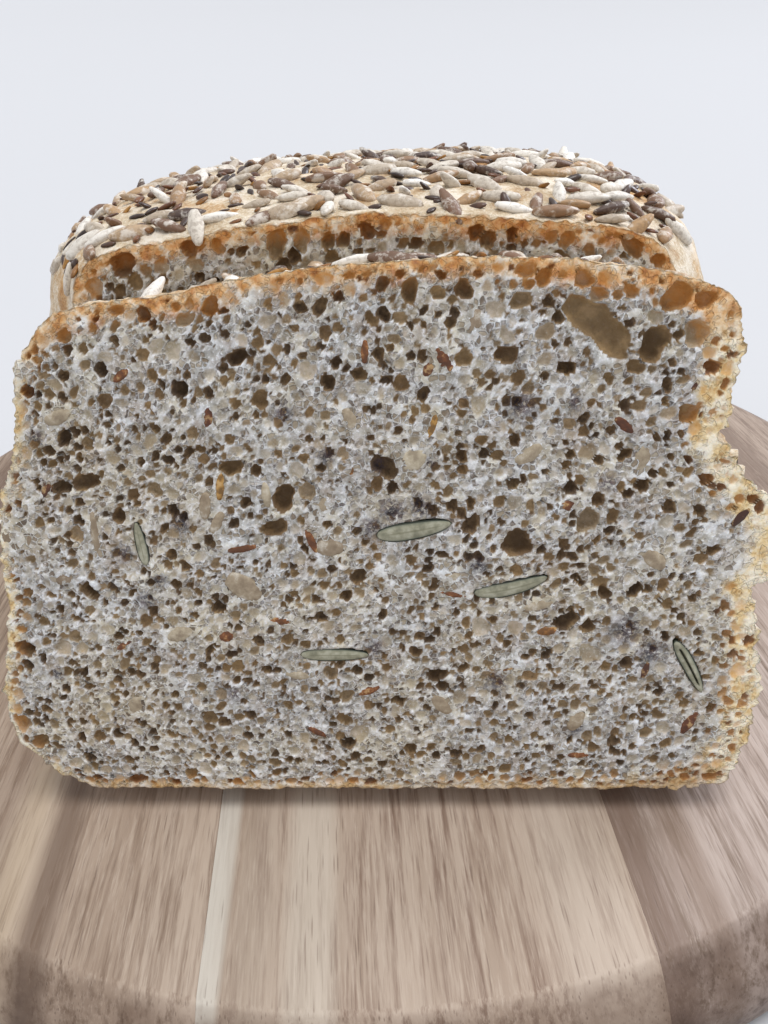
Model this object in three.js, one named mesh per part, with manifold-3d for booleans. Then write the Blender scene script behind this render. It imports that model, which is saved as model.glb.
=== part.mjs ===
// A seeded bread on a round cutting board. The board is glued up from five acacia staves.
// On it stands what is left of the loaf, cut square across, and one thick slice leans back
// against the cut. Sunflower kernels are baked into both top crusts, and the knife went
// through five pumpkin seeds in the slice.
// Millimetres, +Z up. The origin is the centre of the board's underside, and the board's
// grain runs along Y. The slice stands at the -Y side.
import * as THREE from "three";
import { mergeVertices } from "three/addons/utils/BufferGeometryUtils.js";
import Module from "manifold-3d";

const wasm = await Module();
wasm.setup();

// ---- driving dimensions ----
const BOARD_RADIUS = 150;
const BOARD_THICKNESS = 18;
const TOP_EDGE_DROP = 11; // height of the long curve that eases the top edge
const TOP_EDGE_WIDTH = 9.5; // how far that curve reaches in from the rim
const TOP_EDGE_START = 22; // degrees: the curve leaves the flat top at this slope
const BOTTOM_EDGE_RADIUS = 5;
const RIM_SEGMENTS = 96;
const STAVE_JOINTS = [-92, -34.8, 35.5, 97]; // glue lines, along Y
const GLUE_GAP = 0.1;

const LOAF_TURN = -6.26; // degrees about Z
const LOAF_FACE = [1.2, -63.7]; // middle of the loaf's cut face, on the board
const LOAF_LENGTH = 150;
const SWELL_LENGTH = 30; // over this length the loaf grows from its cut section to its full one
const FALL_LENGTH = 120; // over this length its back slopes down to the heel
const HEEL_LENGTH = 92; // over this length its sides draw in to the heel
const HEEL_HEIGHT = 34; // the rounded heel comes to its tip this far up

const SLICE_EDGE = [-3.43, -106.0]; // middle of the slice's front lower edge, seen from above
const SLICE_THICKNESS = 23.5;
const SLICE_HEIGHT = 90.7;
const SLICE_LEAN = 12; // degrees back from upright
const SLICE_FALL = 1.5; // its back is this much lower than its front

const REST_GAP = 0.3; // clearance between a piece and what it rests on or is set in

const KERNEL = { length: 9.6, width: 4.7, thickness: 2.9 }; // hulled sunflower kernel
const KERNEL_SINK = 0.35; // share of a kernel's thickness that is below the crust
const PUMPKIN = { length: 12.2, thickness: 3.3, depth: 8 }; // as the cut shows it

// ---- materials ----
function material(color, roughness) {
  return new THREE.MeshStandardMaterial({ color, roughness, metalness: 0 });
}
const HEARTWOOD = material("#a07a60", 0.55);
const SAPWOOD = material("#c8ab8e", 0.55);
const CRUST = material("#d9c2a2", 0.85);
const CRUMB = material("#b9ab97", 0.9);
const KERNEL_GREY = material("#b8aca0", 0.6);
const PUMPKIN_GREEN = material("#a3a184", 0.5);

// ---- solids and meshes ----
// A three.js geometry as a solid that can be cut.
function solidOf(geometry) {
  const bare = geometry.index ? geometry.toNonIndexed() : geometry.clone();
  const points = new THREE.BufferGeometry();
  points.setAttribute("position", bare.getAttribute("position"));
  const merged = mergeVertices(points, 1e-4);
  return new wasm.Manifold(
    new wasm.Mesh({
      numProp: 3,
      vertProperties: new Float32Array(merged.attributes.position.array),
      triVerts: new Uint32Array(merged.index.array),
    }),
  );
}

// A solid back as a geometry.
function geometryOf(solid) {
  const { numProp, numVert, vertProperties, triVerts } = solid.getMesh();
  const position = new Float32Array(numVert * 3);
  for (let i = 0; i < numVert; i++) {
    position.set(vertProperties.subarray(i * numProp, i * numProp + 3), i * 3);
  }
  const geometry = new THREE.BufferGeometry();
  geometry.setAttribute("position", new THREE.BufferAttribute(position, 3));
  geometry.setIndex(new THREE.BufferAttribute(new Uint32Array(triVerts), 1));
  geometry.computeVertexNormals();
  return geometry;
}

function named(name, geometry, itsMaterial) {
  const mesh = new THREE.Mesh(geometry, itsMaterial);
  mesh.name = name;
  return mesh;
}

const radians = THREE.MathUtils.degToRad;

// ---- the board ----
// Half section of the board, from the axis out along the underside and back over the top.
function boardProfile() {
  const outline = [new THREE.Vector2(0, 0)];
  const bottomSteps = 3;
  for (let i = 0; i <= bottomSteps; i++) {
    const a = (i / bottomSteps) * (Math.PI / 2);
    outline.push(
      new THREE.Vector2(
        BOARD_RADIUS - BOTTOM_EDGE_RADIUS * (1 - Math.sin(a)),
        BOTTOM_EDGE_RADIUS * (1 - Math.cos(a)),
      ),
    );
  }
  // The top curve is part of an ellipse that stands upright at the rim and still
  // slopes where it meets the flat top, which leaves a crisp line there.
  const last = Math.PI / 2 - radians(TOP_EDGE_START);
  const across = TOP_EDGE_WIDTH / (1 - Math.cos(last));
  const high = TOP_EDGE_DROP / Math.sin(last);
  const topSteps = 6;
  for (let i = 0; i <= topSteps; i++) {
    const a = (i / topSteps) * last;
    outline.push(
      new THREE.Vector2(
        BOARD_RADIUS - across * (1 - Math.cos(a)),
        BOARD_THICKNESS - TOP_EDGE_DROP + high * Math.sin(a),
      ),
    );
  }
  outline.push(new THREE.Vector2(0, BOARD_THICKNESS));
  return outline;
}

function makeBoard() {
  const board = new THREE.Group();
  const disc = new THREE.LatheGeometry(boardProfile(), RIM_SEGMENTS);
  disc.rotateX(Math.PI / 2);
  const whole = solidOf(disc);
  const edges = [-BOARD_RADIUS - 1, ...STAVE_JOINTS, BOARD_RADIUS + 1];
  for (let i = 0; i + 1 < edges.length; i++) {
    const low = edges[i] + GLUE_GAP / 2;
    const high = edges[i + 1] - GLUE_GAP / 2;
    const length = 2 * BOARD_RADIUS + 2;
    const block = new THREE.BoxGeometry(high - low, length, 3 * BOARD_THICKNESS);
    block.translate((low + high) / 2, 0, BOARD_THICKNESS / 2);
    const stave = whole.intersect(solidOf(block));
    const wood = i % 2 ? SAPWOOD : HEARTWOOD;
    board.add(named("board_stave_" + (i + 1), geometryOf(stave), wood));
  }
  return board;
}

// ---- sections of the bread ----
// Each runs from the lower left corner over the top to the lower right corner, as seen
// from the -Y side, in the plane of the section: across, then up from the underside.
function sectionCurve(points) {
  return new THREE.SplineCurve(points.map(([x, z]) => new THREE.Vector2(x, z)));
}

// The loaf where it was cut.
const CUT_SECTION = sectionCurve([
  [-54, 0],
  [-63, 3.5],
  [-67, 12],
  [-66.5, 27],
  [-63.5, 46],
  [-60, 63],
  [-55.5, 78],
  [-52, 87],
  [-46, 91],
  [-32, 93],
  [-14, 94.8],
  [2, 95.2],
  [18, 94],
  [34, 92.3],
  [44, 90.5],
  [50, 86],
  [54, 76],
  [58, 61],
  [61.5, 44],
  [64, 26],
  [64, 12],
  [60, 3.5],
  [54, 0],
]);

// The loaf where it is fullest: wider, higher and rounder in the shoulders.
const FULL_SECTION = sectionCurve([
  [-58, 0],
  [-69, 4],
  [-73.5, 13],
  [-74.5, 29],
  [-73.5, 48],
  [-72.5, 63],
  [-70.5, 76],
  [-65.5, 86],
  [-56.5, 92.5],
  [-40, 96.2],
  [-18, 97.4],
  [2, 97.6],
  [20, 97],
  [36, 95.6],
  [48, 92.8],
  [58, 87],
  [64.5, 76],
  [67, 62],
  [68, 45],
  [68.5, 28],
  [67.5, 13],
  [63.5, 4],
  [55, 0],
]);

// The slice's front face. It is slumped at the left shoulder and nicked on the right.
const SLICE_SECTION = sectionCurve([
  [-53.8, 0],
  [-62, 5],
  [-67, 13],
  [-66.2, 24],
  [-63, 36],
  [-61, 53],
  [-55.8, 65],
  [-53, 77],
  [-48, 83.5],
  [-42, 86.2],
  [-30, 87.3],
  [-14, 89.6],
  [4, 90.7],
  [20, 90.5],
  [34, 89.2],
  [46, 86.6],
  [52.4, 83],
  [53.6, 76],
  [53, 68],
  [52, 64],
  [56, 58],
  [62, 50],
  [62, 41],
  [60, 37.5],
  [62.2, 25],
  [61.6, 10],
  [59.4, 2.8],
  [54, 0],
]);

// A bread is a run of rings, closed at both ends. Round each ring the arched outline takes
// its own number of steps, and the flat underside takes BASE_STEPS.
const LOAF_ARCH_STEPS = 34;
const SLICE_ARCH_STEPS = 54;
const BASE_STEPS = 4;

// pointAt(share round the arch, share along) gives the outer surface of the bread.
function breadGeometry(pointAt, rings, archSteps) {
  const around = archSteps + BASE_STEPS;
  const shape = new THREE.CylinderGeometry(1, 1, 1, around, rings);
  const position = shape.getAttribute("position");
  const point = new THREE.Vector3();
  for (let i = 0; i < position.count; i++) {
    point.fromBufferAttribute(position, i);
    const along = THREE.MathUtils.clamp(0.5 - point.y, 0, 1);
    if (Math.hypot(point.x, point.z) < 0.5) {
      // the middle of an end cap
      const left = pointAt(0.1, along);
      const right = pointAt(0.9, along);
      const crown = pointAt(0.5, along);
      point.copy(left).add(right).multiplyScalar(0.5).lerp(crown, 0.4);
    } else {
      const turn = Math.atan2(point.x, -point.z) / (2 * Math.PI);
      const step = Math.round((turn + 0.5) * around) % around;
      if (step <= archSteps) {
        point.copy(pointAt(step / archSteps, along));
      } else {
        const share = (step - archSteps) / BASE_STEPS;
        point.copy(pointAt(1, along)).lerp(pointAt(0, along), share);
      }
    }
    position.setXYZ(i, point.x, point.y, point.z);
  }
  return shape;
}

// ---- the loaf ----
// The height of a superellipse: 1 at its middle, and 0 at its end, where far is 1.
function rounding(far, power) {
  return Math.pow(1 - Math.pow(THREE.MathUtils.clamp(far, 0, 0.9999), power), 1 / power);
}

// The loaf's own frame: X across the cut face, Y back from it, Z up from the board.
function loafPoint(share, along) {
  const back = along * LOAF_LENGTH;
  const left = LOAF_LENGTH - back;
  const swell = Math.sin((Math.min(1, back / SWELL_LENGTH) * Math.PI) / 2);
  const p = CUT_SECTION.getPoint(share).lerp(FULL_SECTION.getPoint(share), swell);
  const narrowing = rounding(1 - left / HEEL_LENGTH, 2.5);
  const falling = rounding(1 - left / FALL_LENGTH, 2.2);
  const undercut = rounding(1 - left / HEEL_LENGTH, 7);
  const rise = (p.y - HEEL_HEIGHT) * (p.y < HEEL_HEIGHT ? undercut : falling);
  return new THREE.Vector3(p.x * narrowing, back, Math.max(0, HEEL_HEIGHT + rise));
}

// The rings stand closer together behind the cut, where the loaf swells, and at the heel.
const LOAF_RINGS = 20;
function loafRing(share, along) {
  return loafPoint(share, (1 - Math.cos(Math.PI * along)) / 2);
}

// ---- the slice ----
// Its own frame: X across, Y through its thickness from the front face, Z up the face.
const SLICE_RINGS = 3;
function slicePoint(share, along) {
  const p = SLICE_SECTION.getPoint(share);
  const fall = (SLICE_FALL * along * p.y) / SLICE_HEIGHT;
  return new THREE.Vector3(p.x, along * SLICE_THICKNESS, Math.max(0, p.y - fall));
}

// ---- seeds ----
// A kernel lies along X: blunt at one end, pointed at the other.
function kernelGeometry(size, grow) {
  const shape = new THREE.SphereGeometry(1, 8, 5);
  shape.rotateZ(Math.PI / 2);
  const position = shape.getAttribute("position");
  for (let i = 0; i < position.count; i++) {
    const x = position.getX(i);
    const slim = 1 - 0.34 * Math.max(0, x) - 0.08 * Math.max(0, -x);
    position.setXYZ(
      i,
      x * (size.length / 2 + grow),
      position.getY(i) * slim * (size.width / 2 + grow),
      position.getZ(i) * slim * (size.thickness / 2 + grow),
    );
  }
  return shape;
}

// Turns a seed to lie on the bread at a place: out is the crust's normal there, heading is
// in degrees round it, and tilt lifts the pointed end.
function seat(geometry, place, out, heading, tilt) {
  const across = new THREE.Vector3(1, 0, 0);
  const ahead = new THREE.Vector3().crossVectors(out, across).normalize();
  across.crossVectors(ahead, out).normalize();
  const basis = new THREE.Matrix4().makeBasis(across, ahead, out);
  const turn = new THREE.Matrix4().makeRotationZ(radians(heading));
  turn.multiply(new THREE.Matrix4().makeRotationY(-radians(tilt)));
  geometry.applyMatrix4(basis.multiply(turn));
  geometry.translate(place.x, place.y, place.z);
  return geometry;
}

// The crust at a place: the point, and the normal that points out of the bread.
function crustAt(pointAt, share, along) {
  const step = 0.004;
  const point = pointAt(share, along);
  const across = pointAt(share + step, along).sub(pointAt(share - step, along));
  const backward = pointAt(share, along + step).sub(pointAt(share, along - step));
  return { point, out: backward.cross(across).negate().normalize() };
}

// Seats kernels in a bread and cuts their pockets. Each row says where round the arch,
// where along, which way the kernel points and how far it is tipped up.
function seedBread(bread, pointAt, rows, prefix, group) {
  let left = bread;
  rows.forEach(([share, along, heading, tilt], i) => {
    const { point, out } = crustAt(pointAt, share, along);
    const sunk = (0.5 - KERNEL_SINK) * KERNEL.thickness;
    const place = point.clone().addScaledVector(out, sunk);
    const pocket = seat(kernelGeometry(KERNEL, REST_GAP), place, out, heading, tilt);
    const kernel = seat(kernelGeometry(KERNEL, 0), place, out, heading, tilt);
    left = left.subtract(solidOf(pocket));
    const name = prefix + String(i + 1).padStart(2, "0");
    group.add(named(name, kernel, KERNEL_GREY));
  });
  return left;
}

// The kernels that stand proud on the loaf: an even but irregular spread over the top,
// stepped by the golden ratio, and one that hangs over the edge of the cut.
const LOAF_KERNELS = 30;
const GOLDEN = 0.618034;
function loafKernelRows() {
  const rows = [[0.417, 0.012, -78, -24]];
  for (let i = 1; i < LOAF_KERNELS; i++) {
    const share = 0.33 + 0.35 * ((i * GOLDEN) % 1);
    const along = 0.06 + (0.8 * (i + 0.5)) / LOAF_KERNELS;
    const heading = (i * 137.5) % 360;
    const tilt = 14 * Math.sin(i * 2.4);
    rows.push([share, along, heading, tilt]);
  }
  return rows;
}

// Share round the slice's arch, share through its thickness, heading and tilt.
const SLICE_KERNEL_ROWS = [
  [0.362, 0.3, 60, 38],
  [0.434, 0.28, 10, 6],
  [0.49, 0.7, 100, 4],
  [0.58, 0.66, 35, 8],
];

// Pumpkin seeds that the knife cut: across, up the face, and turn in the face's plane.
const PUMPKIN_ROWS = [
  [6.3, 49.9, 9],
  [21.6, 40.2, 13],
  [-7.8, 27.8, -1],
  [-38.2, 48.8, 94],
  [51.2, 24.4, -62],
];

function makeLoaf() {
  const loaf = new THREE.Group();
  const whole = solidOf(breadGeometry(loafRing, LOAF_RINGS, LOAF_ARCH_STEPS));
  const left = seedBread(whole, loafPoint, loafKernelRows(), "loaf_kernel_", loaf);
  loaf.add(named("loaf", geometryOf(left), CRUST));
  loaf.position.set(LOAF_FACE[0], LOAF_FACE[1], BOARD_THICKNESS + REST_GAP);
  loaf.rotation.z = radians(LOAF_TURN);
  return loaf;
}

// A pumpkin seed as the knife left it: what is behind the slice's front face.
function cutPumpkin(across, up, turn, grow) {
  const seed = new THREE.SphereGeometry(1, 12, 8);
  seed.scale(
    PUMPKIN.length / 2 + grow,
    PUMPKIN.depth / 2 + grow,
    PUMPKIN.thickness / 2 + grow,
  );
  seed.rotateY(-radians(turn));
  seed.translate(across, 0, up);
  return solidOf(seed);
}

function makeSlice() {
  const slice = new THREE.Group();
  const whole = solidOf(breadGeometry(slicePoint, SLICE_RINGS, SLICE_ARCH_STEPS));
  let left = seedBread(whole, slicePoint, SLICE_KERNEL_ROWS, "slice_kernel_", slice);
  const behindFace = new THREE.BoxGeometry(200, SLICE_THICKNESS, 200);
  behindFace.translate(0, SLICE_THICKNESS / 2, 50);
  PUMPKIN_ROWS.forEach(([across, up, turn], i) => {
    const seed = cutPumpkin(across, up, turn, 0).intersect(solidOf(behindFace));
    left = left.subtract(cutPumpkin(across, up, turn, REST_GAP));
    slice.add(named("cut_pumpkin_seed_" + (i + 1), geometryOf(seed), PUMPKIN_GREEN));
  });
  slice.add(named("slice", geometryOf(left), CRUMB));
  // It tips back about its rear lower edge, so its front lower edge is off the board.
  const lean = radians(SLICE_LEAN);
  const lift = SLICE_THICKNESS * Math.sin(lean);
  slice.position.set(...SLICE_EDGE, BOARD_THICKNESS + REST_GAP + lift);
  slice.rotation.set(-lean, 0, radians(LOAF_TURN), "ZXY");
  return slice;
}

const seededLoafOnBoard = new THREE.Group();
seededLoafOnBoard.add(makeBoard(), makeLoaf(), makeSlice());

export default seededLoafOnBoard;
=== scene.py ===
import math

import bmesh
import bpy
import numpy as np
from mathutils import Matrix, Vector, noise


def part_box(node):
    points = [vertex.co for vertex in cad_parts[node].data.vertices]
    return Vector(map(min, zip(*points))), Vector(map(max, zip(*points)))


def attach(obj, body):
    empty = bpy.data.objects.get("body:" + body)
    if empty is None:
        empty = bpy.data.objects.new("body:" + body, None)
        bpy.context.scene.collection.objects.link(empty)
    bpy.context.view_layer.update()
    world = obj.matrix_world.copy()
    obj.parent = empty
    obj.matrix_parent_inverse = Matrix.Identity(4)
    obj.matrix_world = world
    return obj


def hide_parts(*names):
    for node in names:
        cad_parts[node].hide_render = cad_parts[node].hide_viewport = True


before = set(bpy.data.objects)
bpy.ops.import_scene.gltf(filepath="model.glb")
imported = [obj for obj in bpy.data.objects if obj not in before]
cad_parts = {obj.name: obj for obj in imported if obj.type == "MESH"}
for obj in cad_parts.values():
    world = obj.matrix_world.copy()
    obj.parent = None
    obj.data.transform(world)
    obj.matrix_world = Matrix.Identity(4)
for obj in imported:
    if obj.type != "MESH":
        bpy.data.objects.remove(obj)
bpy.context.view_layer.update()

# ---- the camera ----
# It stands close in front of the slice and looks down on it. Lengths in this file are in
# millimetres until a piece is placed, except the floor's, which are in metres.
MM = 0.001
CAMERA_PLACE = (-4.0, -197.4, 139.5)
CAMERA_AIM = (0.02807, 0.84629, -0.53198)
CAMERA_ROLL = -3.66  # degrees
lens = bpy.data.cameras.new("camera")
lens.sensor_width = 36
lens.lens = 27.035
lens.clip_start = 0.01
camera = bpy.data.objects.new("camera", lens)
turn = Vector(CAMERA_AIM).to_track_quat("-Z", "Y").to_matrix().to_4x4()
roll = Matrix.Rotation(math.radians(CAMERA_ROLL), 4, "Z")
camera.matrix_world = Matrix.Translation(Vector(CAMERA_PLACE) * MM) @ turn @ roll
bpy.context.scene.collection.objects.link(camera)
bpy.context.scene.camera = camera


# ---- the board ----
# A round cutting board glued up from five acacia staves and turned to a disc. The top edge is
# eased with a long round, the bottom edge with a short one, and the wood is oiled.
BOARD_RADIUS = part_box("board_stave_3")[1].y / MM
BOARD_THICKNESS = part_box("board_stave_3")[1].z / MM
TOP_EDGE_DROP = 11
TOP_EDGE_WIDTH = 9.5
TOP_EDGE_START = 22  # degrees: the slope at which the round leaves the flat top
BOTTOM_EDGE_RADIUS = 5
RIM_STEPS = 240


def shade(piece, angle):
    """Smooth shading, but for edges sharper than angle degrees."""
    piece.data.shade_smooth()
    piece.data.set_sharp_from_angle(angle=math.radians(angle))


def piece_of(name, bm, matrix=Matrix.Identity(4)):
    """A bmesh in millimetres as an object in the frame, riding on the one body."""
    bmesh.ops.transform(bm, matrix=Matrix.Scale(MM, 4) @ matrix, verts=bm.verts)
    mesh = bpy.data.meshes.new(name)
    bm.to_mesh(mesh)
    bm.free()
    piece = bpy.data.objects.new(name, mesh)
    bpy.context.scene.collection.objects.link(piece)
    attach(piece, "root")
    return piece


def board_outline():
    """Half section of the board, from the axis along the underside, round the rim and back."""
    outline = [(0, 0)]
    for step in range(7):
        a = step / 6 * math.pi / 2
        outline.append((BOARD_RADIUS - BOTTOM_EDGE_RADIUS * (1 - math.sin(a)),
                        BOTTOM_EDGE_RADIUS * (1 - math.cos(a))))
    last = math.pi / 2 - math.radians(TOP_EDGE_START)
    across = TOP_EDGE_WIDTH / (1 - math.cos(last))
    high = TOP_EDGE_DROP / math.sin(last)
    for step in range(15):
        a = step / 14 * last
        outline.append((BOARD_RADIUS - across * (1 - math.cos(a)),
                        BOARD_THICKNESS - TOP_EDGE_DROP + high * math.sin(a)))
    outline.append((0, BOARD_THICKNESS))
    return outline


def spin_up(bm, outline, steps):
    """Turns a half section, from the axis outwards, once round Z."""
    spots = [bm.verts.new((x, 0, z)) for x, z in outline]
    edges = [bm.edges.new(pair) for pair in zip(spots, spots[1:])]
    bmesh.ops.spin(bm, geom=spots + edges, cent=(0, 0, 0), axis=(0, 0, 1), angle=2 * math.pi,
                   steps=steps, use_merge=True)
    bmesh.ops.remove_doubles(bm, verts=bm.verts, dist=0.001)


def make_stave(name, low, high):
    """The whole turned disc, cut down to what lies between two glue lines."""
    bm = bmesh.new()
    spin_up(bm, board_outline(), RIM_STEPS)
    for place, side in ((low, -1), (high, 1)):
        if abs(place) >= BOARD_RADIUS - 1:
            continue
        cut = bmesh.ops.bisect_plane(bm, geom=bm.verts[:] + bm.edges[:] + bm.faces[:],
                                     plane_co=(place, 0, 0), plane_no=(side, 0, 0), dist=1e-4,
                                     clear_outer=True)
        rim = [e for e in cut["geom_cut"] if isinstance(e, bmesh.types.BMEdge)]
        bmesh.ops.contextual_create(bm, geom=rim)
    bmesh.ops.recalc_face_normals(bm, faces=bm.faces)
    stave = piece_of(name, bm)
    shade(stave, 30)
    return stave


def colour(code):
    """A linear colour from a hex code as it is seen."""
    parts = [int(code[i:i + 2], 16) / 255 for i in (1, 3, 5)]
    return tuple(p / 12.92 if p <= 0.04045 else ((p + 0.055) / 1.055) ** 2.4 for p in parts) + (1,)


class Finish:
    """A material, and the nodes that work it out from the object coordinates in metres."""

    def __init__(self, name, roughness, specular=0.5):
        self.material = bpy.data.materials.new(name)
        self.material.use_nodes = True
        self.shader = self.material.node_tree.nodes["Principled BSDF"]
        self.shader.inputs["Roughness"].default_value = roughness
        self.shader.inputs["Specular IOR Level"].default_value = specular
        self.place = self.add("TexCoord").outputs["Object"]

    def link(self, value, socket):
        self.material.node_tree.links.new(value, socket)

    def add(self, kind, inputs=(), **settings):
        """Adds a shader node. Each input is a value, or a socket to link from."""
        node = self.material.node_tree.nodes.new("ShaderNode" + kind)
        for setting, value in settings.items():
            setattr(node, setting, value)
        for key, value in dict(inputs).items():
            if isinstance(value, bpy.types.NodeSocket):
                self.link(value, node.inputs[key])
            else:
                node.inputs[key].default_value = value
        return node

    def mix(self, share, first, second, blend="MIX"):
        """Two colours, each a socket or a hex code, mixed by the second one's share."""
        pair = [colour(look) if isinstance(look, str) else look for look in (first, second)]
        node = self.add("Mix", {0: share, 6: pair[0], 7: pair[1]}, data_type="RGBA",
                        blend_type=blend)
        return node.outputs[2]

    def ramp(self, value, *stops):
        """A colour ramp. Each stop is a place and a hex code or a grey level."""
        node = self.add("ValToRGB", {0: value})
        while len(node.color_ramp.elements) < len(stops):
            node.color_ramp.elements.new(0.5)
        for element, (place, look) in zip(node.color_ramp.elements, stops):
            element.position = place
            element.color = colour(look) if isinstance(look, str) else (look, look, look, 1)
        return node.outputs[0]

    def sums(self, kind, *values):
        return self.add("Math", dict(enumerate(values)), operation=kind).outputs[0]

    def times(self, first, second):
        return self.sums("MULTIPLY", first, second)

    def fade(self, value, *ends):
        """Carries value from one range to another. Ends: from low, from high, to low, to high."""
        return self.add("MapRange", {0: value, **dict(enumerate(ends, 1))}).outputs[0]

    def noise(self, scale, detail=4, rough=0.55, stretch=(1, 1, 1), shift=(0, 0, 0), place=None):
        """Noise with about scale lumps to the metre, along axes that stretch can slow down."""
        mapped = self.add("Mapping", {"Vector": place or self.place, "Scale": stretch,
                                      "Location": shift})
        node = self.add("TexNoise", {"Vector": mapped.outputs[0], "Scale": scale,
                                     "Detail": detail, "Roughness": rough})
        return node.outputs["Fac"]

    def field(self, layer):
        """A value that the mesh holds at its vertices."""
        return self.add("Attribute", attribute_name=layer).outputs["Fac"]

    def paint(self, base):
        self.link(base, self.shader.inputs["Base Color"])

    def bump(self, height, distance_mm, strength=1.0):
        node = self.add("Bump", {"Height": height, "Distance": distance_mm * MM,
                                 "Strength": strength})
        self.link(node.outputs[0], self.shader.inputs["Normal"])


def wood(name, dark, middle, light, seed, streaks=()):
    """Oiled acacia along Y. Each streak of sapwood or dark heart: place, width, softness, colour
    and share."""
    f = Finish(name, 0.5, 0.3)
    shift = (seed * 0.37, seed * 0.61, seed * 0.13)
    wander = f.noise(9, 2, 0.5, (1, 0.5, 1), shift)
    wander = f.sums("SUBTRACT", wander, 0.5)
    x = f.add("SeparateXYZ", {0: f.place}).outputs[0]
    bent = f.sums("MULTIPLY_ADD", wander, 0.008, x)
    ring_place = f.add("CombineXYZ", {0: bent, 1: f.times(wander, 0.04)}).outputs[0]
    rings = f.noise(150, 3, 0.62, (1, 0.02, 0.4), shift, ring_place)
    broad = f.noise(30, 2, 0.5, (1, 0.05, 0.6), shift, ring_place)
    fibre = f.noise(800, 4, 0.65, (1, 0.05, 1), shift)
    fine = f.noise(2200, 3, 0.7, (1, 0.07, 1), shift)
    cloud = f.noise(45, 3, 0.6, (1, 0.35, 1), shift)
    tone = f.sums("MULTIPLY_ADD", rings, 0.45, f.times(broad, 0.35))
    tone = f.sums("MULTIPLY_ADD", cloud, 0.2, tone)
    base = f.ramp(tone, (0.34, dark), (0.5, middle), (0.64, light))
    base = f.mix(f.ramp(fibre, (0.34, 0.95), (0.54, 0.0)), base, dark)
    base = f.mix(f.ramp(fine, (0.5, 0.0), (0.68, 0.6)), base, light)
    for spot, width, soft, look, share in streaks:
        off = f.sums("ABSOLUTE", f.sums("SUBTRACT", bent, spot * MM))
        inside = f.fade(off, (width / 2 + soft) * MM, width / 2 * MM, 0, share)
        inside = f.times(inside, f.ramp(fibre, (0.3, 0.7), (0.55, 1.0)))
        base = f.mix(inside, base, look)
    # open pores: fine dark dashes along the grain
    drawn = f.add("Mapping", {"Vector": f.place, "Scale": (1, 0.06, 1), "Location": shift})
    dashes = f.add("TexVoronoi", {"Vector": drawn.outputs[0], "Scale": 1900}).outputs["Distance"]
    some = f.noise(160, 2, 0.5, (1, 0.12, 1), shift)
    dash = f.times(f.ramp(dashes, (0.12, 1.0), (0.3, 0.0)), f.ramp(some, (0.4, 0.1), (0.62, 0.55)))
    base = f.mix(dash, base, f.mix(0.4, dark, "#3f2d22"))
    # the turned rim is darker than the sanded top: partly the end grain's own colour, most where
    # it shows, and partly painted shade where the edge slopes away from the light
    normal = f.add("NewGeometry").outputs["Normal"]
    up = f.add("SeparateXYZ", {0: normal}).outputs[2]
    rim = f.ramp(up, (0.45, 1.0), (0.88, 0.7), (0.96, 0.0))
    mottle = f.noise(90, 4, 0.65, (1, 1, 1), shift)
    rim_grain_and_shade = f.times(rim, f.ramp(mottle, (0.35, 1.0), (0.65, 0.45)))
    base = f.mix(rim_grain_and_shade, base, f.mix(1.0, base, "#826c5d", "MULTIPLY"))
    f.paint(base)
    rough = f.ramp(fibre, (0.2, 0.62), (0.8, 0.42))
    f.link(rough, f.shader.inputs["Roughness"])
    height = f.sums("MULTIPLY_ADD", dash, -0.8, fibre)
    f.bump(height, 0.12, 0.7)
    return f.material


GLUE_FILL = 0.04  # how far each stave reaches into the thin gap beside it
# name, colours from dark to light, number of its grain, and streaks along the stave
STAVES = [
    ("board_stave_1", "#64503f", "#867260", "#a18e7c", 3, [(-118, 9, 5, "#5a4436", 0.6)]),
    ("board_stave_2", "#7e6958", "#a28e7c", "#b9a796", 5,
     [(-63.5, 2.5, 3, "#5f4939", 0.7), (-75, 5, 5, "#7b6655", 0.4), (-70, 2, 4, "#bda98f", 0.5)]),
    ("board_stave_3", "#7c6555", "#9d8977", "#b6a493", 1,
     [(-33.2, 3.4, 1.2, "#c8c1b5", 0.85), (-27, 3, 5, "#ab9b8a", 0.5),
      (-17.5, 5, 2.5, "#c0b3a3", 0.7), (28, 10, 5, "#b9a999", 0.6)]),
    ("board_stave_4", "#756253", "#98867a", "#b0a095", 7,
     [(38, 3.5, 3, "#705a4c", 0.7), (47, 2, 3, "#7a6453", 0.5)]),
    ("board_stave_5", "#725e4f", "#917e6e", "#aa9888", 9, [(118, 6, 5, "#604b3c", 0.5)]),
]
for name, dark, middle, light, seed, streaks in STAVES:
    low, high = (corner.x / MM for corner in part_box(name))
    stave = make_stave(name + "_turned", low - GLUE_FILL, high + GLUE_FILL)
    stave.data.materials.append(wood(name + "_wood", dark, middle, light, seed, streaks))
    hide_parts(name)


# ---- the slice ----
# One thick slice of a dense wholegrain loaf, cut right through. It tips back about its rear
# lower edge until its top meets the loaf. The cut opens the pores of the crumb; the crust is
# thin, floured on top, pale and torn on the right.
LOAF_TURN = -6.26  # degrees about Z
SLICE_EDGE = (-3.43, -106.0)
SLICE_THICKNESS = 23.5
SLICE_HEIGHT = 90.7
SLICE_FALL = 1.5
SLICE_LEAN = 12
REST_GAP = 0.3
SLICE_SECTION = [
    (-53.8, 0), (-62, 5), (-67, 13), (-66.2, 24), (-63, 36), (-61, 53), (-55.8, 65), (-53, 77),
    (-48, 83.5), (-42, 86.2), (-30, 87.3), (-14, 89.6), (4, 90.7), (20, 90.5), (34, 89.2),
    (46, 86.6), (52.4, 83), (53.6, 76), (53, 68), (52, 64), (56, 58), (62, 50), (62, 41),
    (60, 37.5), (62.2, 25), (61.6, 10), (59.4, 2.8), (54, 0)]
SLICE_CORNERS = (8 / 27, 16 / 27)  # the upper corners, as shares of the section's points
FACE_STEP = 0.42  # the mesh on the cut face is this fine
BACK_STEP = 1.1
SLICE_LAYERS = 14
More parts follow.
